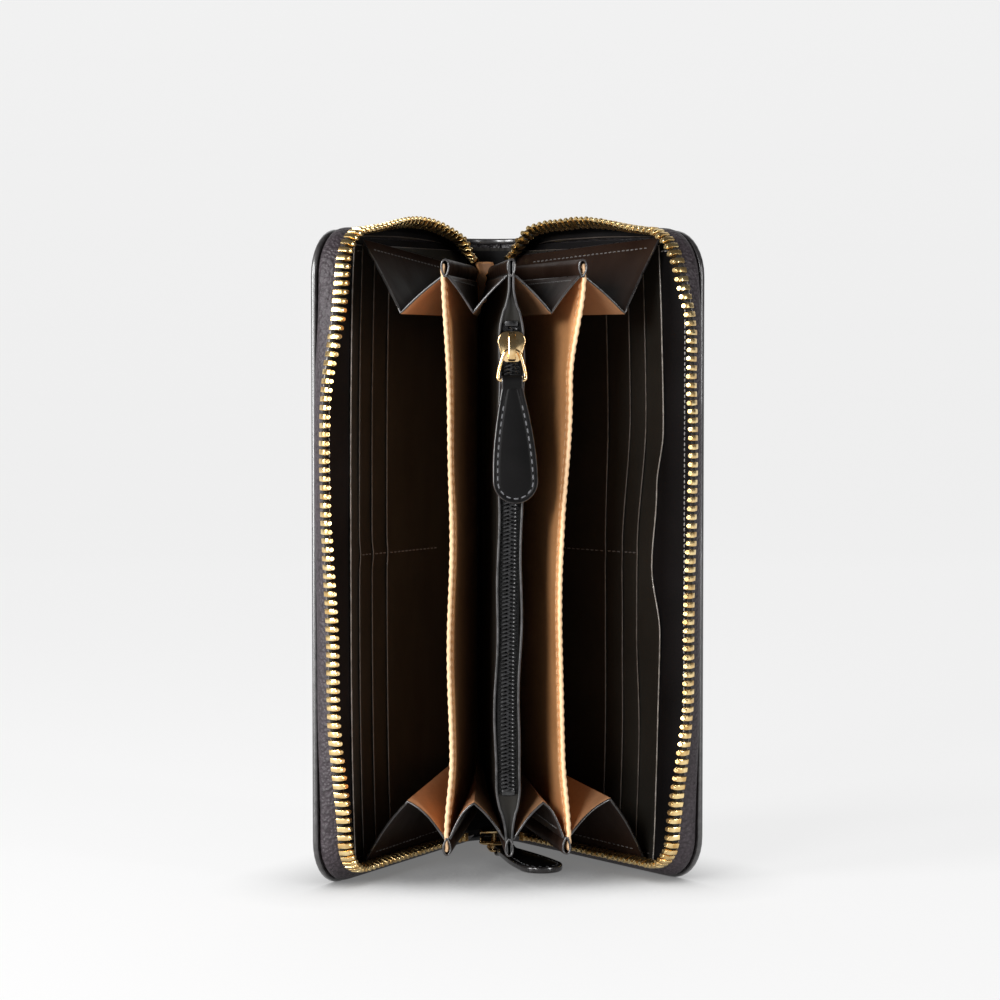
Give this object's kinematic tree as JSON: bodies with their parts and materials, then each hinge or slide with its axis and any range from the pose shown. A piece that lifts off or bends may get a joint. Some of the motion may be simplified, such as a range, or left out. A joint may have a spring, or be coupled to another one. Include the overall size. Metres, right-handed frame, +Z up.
{
  "type": "zip-around long wallet",
  "caption": "Zip-around long wallet with an accordion inside: card slots, dividers and a zipped coin pocket, standing on end with its covers fanned open.",
  "frame": {"origin": "centre of the bounding box's base, where the wallet stands on its short end", "axes": "+Z up along the wallet's long side, +Y towards the spine, the mouth faces -Y and +X is to the right of someone who looks into the mouth"},
  "size_m": [0.1174, 0.0965, 0.2016],
  "materials": {
    "cover_leather": "black, pebbled",
    "band_leather": "black, pebbled",
    "board": "grey pressed board",
    "cover_lining": "black, smooth",
    "pocket_leather": "black, smooth",
    "zip_metal": "polished gold",
    "slider_metal": "polished pale gold",
    "zip_tape": "black woven tape",
    "zip_nylon": "black nylon",
    "tan_leather": "tan, smooth",
    "gusset_leather": "black outside, tan inside",
    "pull_leather": "black, stitched"
  },
  "bodies": {
    "wallet_middle": {"spine_leather": "cover_leather", "spine_board": "board", "spine_lining": "cover_lining", "coin_pocket_left_wall": "pocket_leather", "coin_pocket_right_wall": "pocket_leather", "coin_pocket_base": "pocket_leather", "coin_zip_left_tape": "zip_tape", "coin_zip_right_tape": "zip_tape", "coin_zip_left_coil": "zip_nylon", "coin_zip_right_coil": "zip_nylon", "coin_zip_stops": "zip_nylon", "zip_end_tab": "tan_leather"},
    "left_divider": {"left_divider": "tan_leather", "left_inner_gusset_top": "gusset_leather", "left_inner_gusset_bottom": "gusset_leather"},
    "left_cover": {"left_cover_leather": "cover_leather", "left_cover_board": "board", "left_cover_lining": "cover_lining", "left_slip_panel": "pocket_leather", "left_card_slot_1": "pocket_leather", "left_card_slot_2": "pocket_leather", "left_card_slot_3": "pocket_leather", "left_zip_band": "band_leather", "left_zip_tape": "zip_tape", "left_zip_teeth": "zip_metal", "left_outer_gusset_top": "gusset_leather", "left_outer_gusset_bottom": "gusset_leather"},
    "right_divider": {"right_divider": "tan_leather", "right_inner_gusset_top": "gusset_leather", "right_inner_gusset_bottom": "gusset_leather"},
    "right_cover": {"right_cover_leather": "cover_leather", "right_cover_board": "board", "right_cover_lining": "cover_lining", "right_slip_panel": "pocket_leather", "right_card_slot_1": "pocket_leather", "right_card_slot_2": "pocket_leather", "right_card_slot_3": "pocket_leather", "right_zip_band": "band_leather", "right_zip_tape": "zip_tape", "right_zip_teeth": "zip_metal", "right_outer_gusset_top": "gusset_leather", "right_outer_gusset_bottom": "gusset_leather"},
    "main_slider": {"main_slider": "slider_metal"},
    "main_bail": {"main_bail": "slider_metal"},
    "main_pull": {"main_pull": "pull_leather"},
    "coin_slider": {"coin_slider": "slider_metal"},
    "coin_bail": {"coin_bail": "slider_metal"},
    "coin_pull": {"coin_pull": "pull_leather"}
  },
  "joints": [
    {"name": "left_divider_turn", "type": "hinge", "parent": "wallet_middle", "child": "left_divider", "pos_m": [0, 0.03522, 0.098], "axis": [0, 0, -1], "range_deg": [-10, 3], "deforming": ["left_inner_gusset_top", "left_inner_gusset_bottom"]},
    {"name": "left_cover_turn", "type": "hinge", "parent": "left_divider", "child": "left_cover", "pos_m": [0, 0.03522, 0.098], "axis": [0, 0, -1], "range_deg": [-21.81, 6.55], "deforming": ["left_outer_gusset_top", "left_outer_gusset_bottom", "spine_leather"]},
    {"name": "right_divider_turn", "type": "hinge", "parent": "wallet_middle", "child": "right_divider", "pos_m": [0, 0.03522, 0.098], "axis": [0, 0, 1], "range_deg": [-10, 3], "deforming": ["right_inner_gusset_top", "right_inner_gusset_bottom"]},
    {"name": "right_cover_turn", "type": "hinge", "parent": "right_divider", "child": "right_cover", "pos_m": [0, 0.03522, 0.098], "axis": [0, 0, 1], "range_deg": [-21.81, 6.55], "deforming": ["right_outer_gusset_top", "right_outer_gusset_bottom", "spine_leather"]},
    {"name": "main_slider_slide", "type": "slide", "parent": "wallet_middle", "child": "main_slider", "axis": [0, 1, 0], "range_m": [-0.058, 0]},
    {"name": "main_bail_swing", "type": "hinge", "parent": "main_slider", "child": "main_bail", "pos_m": [0, 0.02622, 0.00174], "axis": [0, 0, 1], "range_deg": [-18.01, 5.41]},
    {"name": "main_pull_tip", "type": "hinge", "parent": "main_bail", "child": "main_pull", "pos_m": [0.00278, 0.01766, 0.00174], "axis": [0.9511, 0.309, 0], "range_deg": [0, 80]},
    {"name": "coin_slider_slide", "type": "slide", "parent": "wallet_middle", "child": "coin_slider", "axis": [0, 0, -1], "range_m": [0, 0.124]},
    {"name": "coin_bail_tip", "type": "hinge", "parent": "coin_slider", "child": "coin_bail", "pos_m": [0, -0.04663, 0.16], "axis": [-1, 0, 0], "range_deg": [0, 120]},
    {"name": "coin_pull_tip", "type": "hinge", "parent": "coin_bail", "child": "coin_pull", "pos_m": [0, -0.04663, 0.151], "axis": [-1, 0, 0], "range_deg": [0, 60]}
  ],
  "couplings": [
    {"joint": "left_cover_turn", "follows": "left_divider_turn", "ratio": 2.18},
    {"joint": "right_cover_turn", "follows": "right_divider_turn", "ratio": 2.18},
    {"joint": "main_bail_swing", "follows": "right_divider_turn", "ratio": 1.8}
  ]
}
